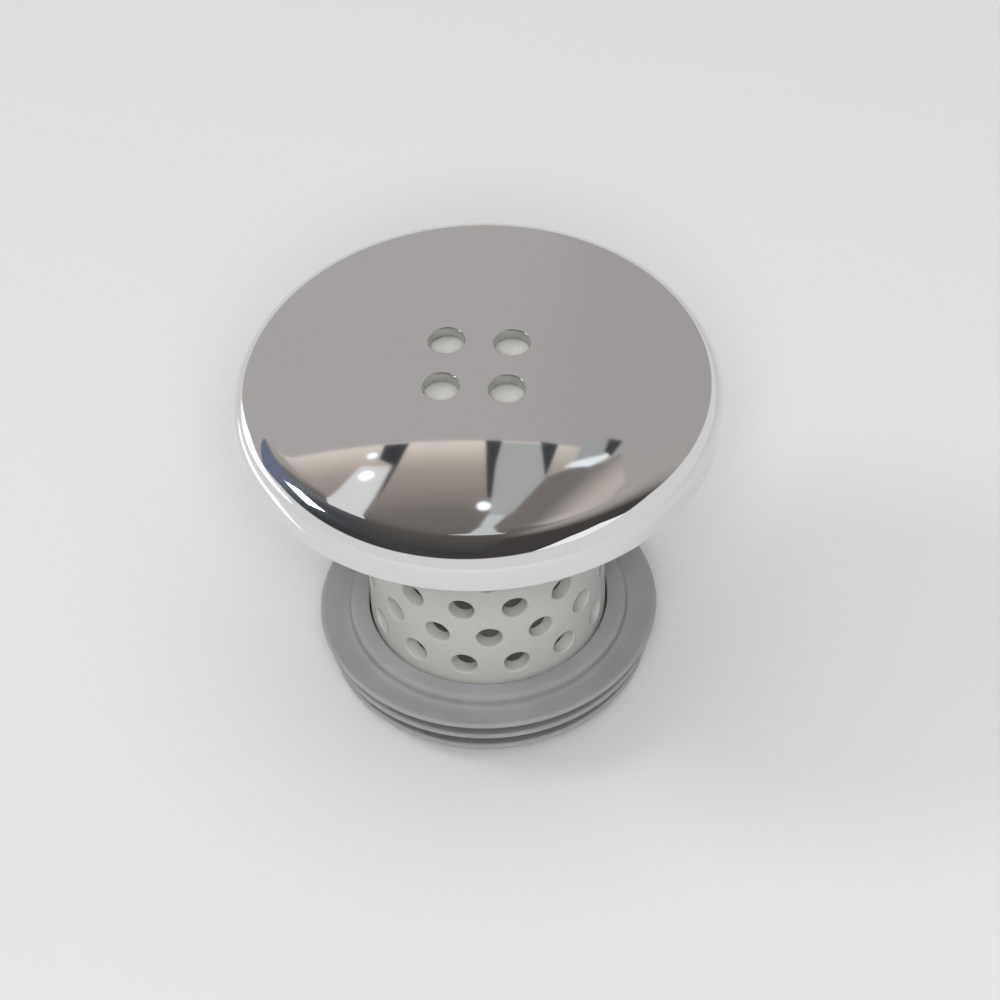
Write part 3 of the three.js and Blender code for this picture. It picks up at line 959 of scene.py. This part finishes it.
# Bands of the room that the chrome mirrors: degrees from the front horizon over the zenith to the top edge of
# the back wall, and colour. The ceiling glows towards that edge. Its left side is darker and its far left is
# bluish. On its right the glow is wider and less bright.
WALL_EDGE = 126.2
CEILING_BANDS = [
    (0, (0.06, 0.06, 0.06)),
    (50, (0.05, 0.052, 0.052)),
    (86, (0.094, 0.086, 0.083)),
    (100, (0.1, 0.092, 0.085)),
    (115, (0.165, 0.148, 0.135)),
    (118, (0.19, 0.172, 0.158)),
    (121, (0.335, 0.29, 0.265)),
    (123, (0.41, 0.36, 0.32)),
    (124.5, (0.58, 0.52, 0.46)),
    (WALL_EDGE, (0.84, 0.76, 0.68)),
]
LEFT_BANDS = [
    (50, (0.06, 0.06, 0.06)),
    (85, (0.07, 0.072, 0.078)),
    (96, (0.08, 0.088, 0.1)),
    (106, (0.17, 0.18, 0.2)),
    (114, (0.17, 0.17, 0.17)),
    (119, (0.4, 0.37, 0.34)),
    (WALL_EDGE, (0.45, 0.43, 0.41)),
]
FAR_LEFT_BANDS = [
    (55, (0.05, 0.05, 0.05)),
    (80, (0.085, 0.098, 0.12)),
    (100, (0.16, 0.195, 0.27)),
]
RIGHT_BANDS = [
    (80, (0.06, 0.055, 0.052)),
    (91, (0.065, 0.06, 0.055)),
    (99, (0.22, 0.2, 0.185)),
    (106, (0.37, 0.345, 0.32)),
    (117, (0.46, 0.425, 0.4)),
    (WALL_EDGE, (0.43, 0.41, 0.38)),
]
WALL_LEFT = (0.465, 0.447, 0.437, 1.0)
WALL_RIGHT = (0.423, 0.405, 0.397, 1.0)
# Distances to the side, for each metre up, between which the colours pass into each other
RIGHT_BLEND = (0.0, 0.13)
LEFT_BLEND = (-0.3, -0.62)
FAR_LEFT_BLEND = (-0.75, -1.0)
WALL_BLEND = (-0.1, 0.15)
LEAST_HEIGHT = 0.01
# Degrees between which the ceiling passes into the wall
EDGE_BLEND = (WALL_EDGE - 0.05, WALL_EDGE + 0.25)
# The white surround's top edge in front, its rise to the right, its fall to the back and its softness
SURROUND_HEIGHT = 0.5
SURROUND_RISE = 0.15
SURROUND_FALL = -0.6
SURROUND_SOFT = 0.03
# Light on the matt finishes, which narrows to the zenith, and the background that the camera sees
ZENITH_LIGHT = 1.3
ZENITH_POWER = 3.0
BACKGROUND_LIGHT = 0.8


def room_colour(made, x, y, z):
    """Colour of the mirrored room in a direction."""
    turn = made.math("DIVIDE", made.math("ARCTAN2", z, made.math("MULTIPLY", y, -1.0)), math.pi)
    sideways = made.math("DIVIDE", x, made.math("MAXIMUM", z, LEAST_HEIGHT))
    ceiling, left, far_left, right = (
        made.ramp(turn, [(degrees / HALF_TURN_DEGREES, colour) for degrees, colour in bands])
        for bands in (CEILING_BANDS, LEFT_BANDS, FAR_LEFT_BANDS, RIGHT_BANDS)
    )
    ceiling = made.mix(made.spread(sideways, *RIGHT_BLEND), ceiling, right)
    ceiling = made.mix(made.spread(sideways, *LEFT_BLEND), ceiling, left)
    ceiling = made.mix(made.spread(sideways, *FAR_LEFT_BLEND), ceiling, far_left)
    wall = made.mix(made.spread(sideways, *WALL_BLEND), WALL_LEFT, WALL_RIGHT)
    past_edge = made.spread(turn, *(degrees / HALF_TURN_DEGREES for degrees in EDGE_BLEND))
    bands = made.mix(past_edge, ceiling, wall)
    fall = made.math("MULTIPLY", made.math("MAXIMUM", y, 0.0), SURROUND_FALL)
    rise = made.math("ADD", made.math("MULTIPLY", x, SURROUND_RISE), SURROUND_HEIGHT)
    below = made.math("SUBTRACT", made.math("ADD", rise, fall), z)
    return made.mix(made.spread(below, -SURROUND_SOFT, SURROUND_SOFT), bands, HORIZON_WHITE)


def make_world():
    """Soft overhead light for the matt finishes; the chrome mirrors a room with a white surround."""
    world = bpy.data.worlds.new("studio")
    bpy.context.scene.world = world
    world.use_nodes = True
    made = Nodes(world.node_tree)
    made.tree.nodes.clear()
    x, y, z = made.axes(made.add("ShaderNodeTexCoord").outputs["Generated"])
    room = made.add("ShaderNodeBackground", Strength=1.0)
    made.link(room_colour(made, x, y, z), room.inputs["Color"])
    plain = made.add("ShaderNodeBackground", Color=WHITE)
    from_above = made.math("POWER", made.math("MAXIMUM", z, 0.0), ZENITH_POWER)
    made.link(made.math("MULTIPLY", from_above, ZENITH_LIGHT), plain.inputs["Strength"])
    background = made.add("ShaderNodeBackground", Color=WHITE, Strength=BACKGROUND_LIGHT)
    path = made.add("ShaderNodeLightPath")
    around_object = made.blend(path.outputs["Is Glossy Ray"], plain, room)
    seen = made.blend(path.outputs["Is Camera Ray"], around_object, background)
    made.link(seen.outputs[0], made.add("ShaderNodeOutputWorld").inputs["Surface"])


# Height of the mirrored ceiling's panels, and how far one that covers another hangs below it
CEILING = 1.55
LAYER = 0.01
DARK = (0.045, 0.05, 0.058)
LAMP_COLOUR = (1.4, 1.45, 1.5)
LAMP_SIDES = 16
# A panel with two colours goes from the first to the second over these distances along this direction
SWEEP_DIRECTION = (0.884, -0.468)
SWEEP_RANGE = (-0.335, -0.25)
# Height of the strip on the floor, and place of the upright strip at the left
FLOOR_STRIP_LEVEL = FLOOR_LEVEL + 0.001
LEFT_STRIP_X = -0.6


def overhead(points, drop=0.0):
    return [(x, y, CEILING - drop) for x, y in points]


def make_card(name, corners, colour, end_colour=None):
    """Flat panel that only the mirror finish sees, of one colour or with a sweep to an end colour."""
    material = bpy.data.materials.new(name)
    material.use_nodes = True
    made = Nodes(material.node_tree)
    made.tree.nodes.clear()
    glow = made.add("ShaderNodeEmission", Color=(*colour, 1.0), Strength=1.0)
    if end_colour:
        x, y, _ = made.axes(made.add("ShaderNodeTexCoord").outputs["Object"])
        parts = [made.math("MULTIPLY", axis, share) for axis, share in zip((x, y), SWEEP_DIRECTION)]
        share = made.spread(made.math("ADD", *parts), *SWEEP_RANGE)
        made.link(made.mix(share, (*colour, 1.0), (*end_colour, 1.0)), glow.inputs["Color"])
    out = made.add("ShaderNodeOutputMaterial")
    made.link(glow.outputs[0], out.inputs["Surface"])
    card = flat_piece(name, corners, material)
    card.visible_camera = False
    card.visible_diffuse = False
    card.visible_shadow = False


def make_lamp(name, x, y, radius):
    """Small round bright lamp, for the mirror finish only."""
    rim = [(x + radius * math.cos(a), y + radius * math.sin(a)) for a in even_angles(LAMP_SIDES)]
    make_card(name, overhead(rim, 2 * LAYER), LAMP_COLOUR)


def make_left_cards():
    """Pale panel with a dark side at the left of the ceiling."""
    panel = [(-0.422, 0.994), (-0.342, 0.98), (-0.369, 0.85), (-0.514, 0.384), (-0.8, 0.36), (-0.462, 0.911)]
    make_card("left_panel", overhead(panel), (0.78, 0.79, 0.79))
    flag = [(-0.375, 1.01), (-0.37, 1.075), (-0.306, 1.075), (-0.326, 0.962), (-0.36, 0.82), (-0.337, 0.976)]
    make_card("left_flag", overhead(flag, LAYER), DARK)


def make_middle_cards():
    """Pale panel with a foot and dark sides in the middle of the ceiling, and a sweep of light beside it."""
    panel = [(-0.078, 1.08), (0.026, 1.08), (0.045, 0.93), (0.024, 0.852), (-0.03, 0.776), (-0.08, 0.774)]
    make_card("middle_panel", overhead(panel), (0.44, 0.46, 0.455))
    foot = [(-0.082, 0.772), (-0.034, 0.774), (-0.066, 0.725), (0.01, 0.48), (-0.17, 0.48), (-0.105, 0.705)]
    make_card("middle_foot", overhead(foot), (0.62, 0.65, 0.65))
    sweep = [(0.046, 0.93), (0.097, 0.974), (0.18, 1.02), (0.225, 1.08), (0.24, 0.95), (0.2, 0.72)]
    sweep += [(-0.06, 0.7)]
    make_card("right_sweep", overhead(sweep, LAYER / 2), (0.2, 0.18, 0.165), (0.56, 0.51, 0.47))
    flag = [(-0.115, 1.08), (-0.074, 1.08), (-0.081, 0.96), (-0.078, 0.83), (-0.09, 0.835)]
    make_card("middle_left_flag", overhead(flag, LAYER), DARK)
    flag = [(0.022, 1.085), (0.066, 1.08), (0.054, 0.99), (0.043, 0.925)]
    make_card("middle_right_flag", overhead(flag, LAYER), DARK)


def make_right_cards():
    """Pale panel with a bright crescent and a dark side at the right of the ceiling."""
    panel = [(0.107, 1.005), (0.136, 1.13), (0.2, 1.14), (0.18, 1.055)]
    make_card("right_panel", overhead(panel), (0.4, 0.41, 0.41))
    crescent = [(0.084, 0.975), (0.107, 1.005), (0.18, 1.055), (0.199, 1.1), (0.191, 1.045), (0.15, 0.995)]
    make_card("right_crescent", overhead(crescent, LAYER), (1.0, 1.06, 1.1))
    flag = [(0.18, 1.06), (0.19, 1.13), (0.225, 1.13), (0.2, 1.05)]
    make_card("right_flag", overhead(flag, 2 * LAYER), DARK)


def make_strips():
    """Bright strips that edge the rim: on the floor, at the front right and upright at the left."""
    strip = [(-0.2, 0.095), (-0.215, 0.03), (-0.205, -0.03), (-0.11, -0.036), (-0.07, -0.032)]
    strip += [(-0.085, -0.028), (-0.125, -0.012), (-0.13, 0.05), (-0.16, 0.085)]
    make_card("left_floor_strip", [(x, y, FLOOR_STRIP_LEVEL) for x, y in strip], (1.3, 1.3, 1.3))
    strip = [(0.52, -1.02, 0.8), (0.7, -0.6, 1.06), (0.86, -0.37, 1.08)]
    strip += [(1.12, -0.3, 0.9), (0.87, -0.77, 0.8)]
    make_card("right_strip", strip, (1.05, 1.05, 1.05))
    strip = [(0.43, 0.05), (0.3, 0.002), (0.22, 0.002), (0.04, 0.073), (-0.14, 0.14)]
    strip += [(-0.1, 0.185), (0.04, 0.18), (0.25, 0.2), (0.34, 0.13)]
    make_card("left_strip", [(LEFT_STRIP_X, y, z) for y, z in strip], (1.5, 1.5, 1.5))


def make_cards():
    """Panels, lamps and strips of the room that the chrome mirrors."""
    make_left_cards()
    make_middle_cards()
    make_right_cards()
    make_lamp("left_far_lamp", x=-0.393, y=1.022, radius=0.014)
    make_lamp("left_near_lamp", x=-0.397, y=0.935, radius=0.021)
    make_lamp("middle_lamp", x=-0.094, y=0.792, radius=0.017)
    make_strips()


# Soft lamps: where they are, their width and height, and their power in watts
LAMP_AIM = Vector((0.0, 0.0, 0.05))
KEY_PLACE = Vector((-0.9, -0.02, 0.84))
KEY_SIZE = (0.38, 0.16)
KEY_WATTS = 2.3
FILL_PLACE = Vector((0.1, -0.88, 0.93))
FILL_SIZE = (0.4, 0.4)
FILL_WATTS = 8.0
# Half sizes and colour of the panel that the gloss mirrors in the key lamp's place
KEY_PANEL = (0.14, 0.11)
KEY_PANEL_COLOUR = (6.0, 6.0, 6.0)


def make_soft_box(name, place, size, watts):
    """Soft lamp aimed at the object, which the gloss doesn't mirror. Returns how it is turned."""
    data = bpy.data.lights.new(name, "AREA")
    data.shape = "RECTANGLE"
    data.size, data.size_y = size
    data.energy = watts
    lamp = bpy.data.objects.new(name, data)
    bpy.context.scene.collection.objects.link(lamp)
    turn = (LAMP_AIM - place).to_track_quat("-Z", "Y")
    lamp.location = place
    lamp.rotation_euler = turn.to_euler()
    lamp.visible_glossy = False
    return turn


def make_lights():
    """Key lamp from the left, almost as high as it is far, and a fill lamp from the front."""
    turn = make_soft_box("key", KEY_PLACE, KEY_SIZE, KEY_WATTS)
    make_soft_box("fill", FILL_PLACE, FILL_SIZE, FILL_WATTS)
    corners = [Vector((x * KEY_PANEL[0], y * KEY_PANEL[1], 0.0)) for x, y in SQUARE]
    make_card("key_panel", [KEY_PLACE + turn @ corner for corner in corners], KEY_PANEL_COLOUR)


# Camera, as fitted to the photograph's cap outline and holes, in millimetres. CAP_PIXEL is where the image
# has the cap's middle, a little above the rim
IMAGE_SIZE = 1000
CAMERA_AZIMUTH = math.radians(6.78)
CAMERA_ELEVATION = math.radians(44.65)
CAMERA_ROLL = math.radians(-2.85)
CAMERA_DISTANCE = 550.0
PIXELS_PER_MM = 7.673
CAP_PIXEL = (478.6, 404.2)
CAP_MIDDLE_RISE = 1.95
SENSOR = 36.0
CLIP_START = 0.02


def make_camera():
    centre = Vector((0, 0, RIM + CAP_MIDDLE_RISE))
    right = Vector((math.cos(CAMERA_AZIMUTH), math.sin(CAMERA_AZIMUTH), 0))
    front = Vector((math.sin(CAMERA_AZIMUTH), -math.cos(CAMERA_AZIMUTH), 0))
    back = front * math.cos(CAMERA_ELEVATION) + Vector((0, 0, math.sin(CAMERA_ELEVATION)))
    up = back.cross(right)
    cosine, sine = math.cos(CAMERA_ROLL), math.sin(CAMERA_ROLL)
    image_right = right * cosine + up * sine
    image_up = up * cosine - right * sine
    focal = PIXELS_PER_MM * CAMERA_DISTANCE
    middle = IMAGE_SIZE / 2
    aim = -back * focal + image_right * (middle - CAP_PIXEL[0]) - image_up * (middle - CAP_PIXEL[1])
    aim.normalize()
    side = aim.cross(image_up).normalized()
    top = side.cross(aim)
    place = (centre + back * CAMERA_DISTANCE) * MM
    data = bpy.data.cameras.new("camera")
    data.sensor_width = SENSOR
    data.lens = focal * SENSOR / IMAGE_SIZE
    data.clip_start = CLIP_START
    camera = bpy.data.objects.new("camera", data)
    bpy.context.scene.collection.objects.link(camera)
    camera.matrix_world = Matrix.Translation(place) @ Matrix((side, top, -aim)).transposed().to_4x4()
    bpy.context.scene.camera = camera


make_floor()
make_world()
make_cards()
make_lights()
make_camera()
bpy.context.scene.view_settings.view_transform = "Standard"
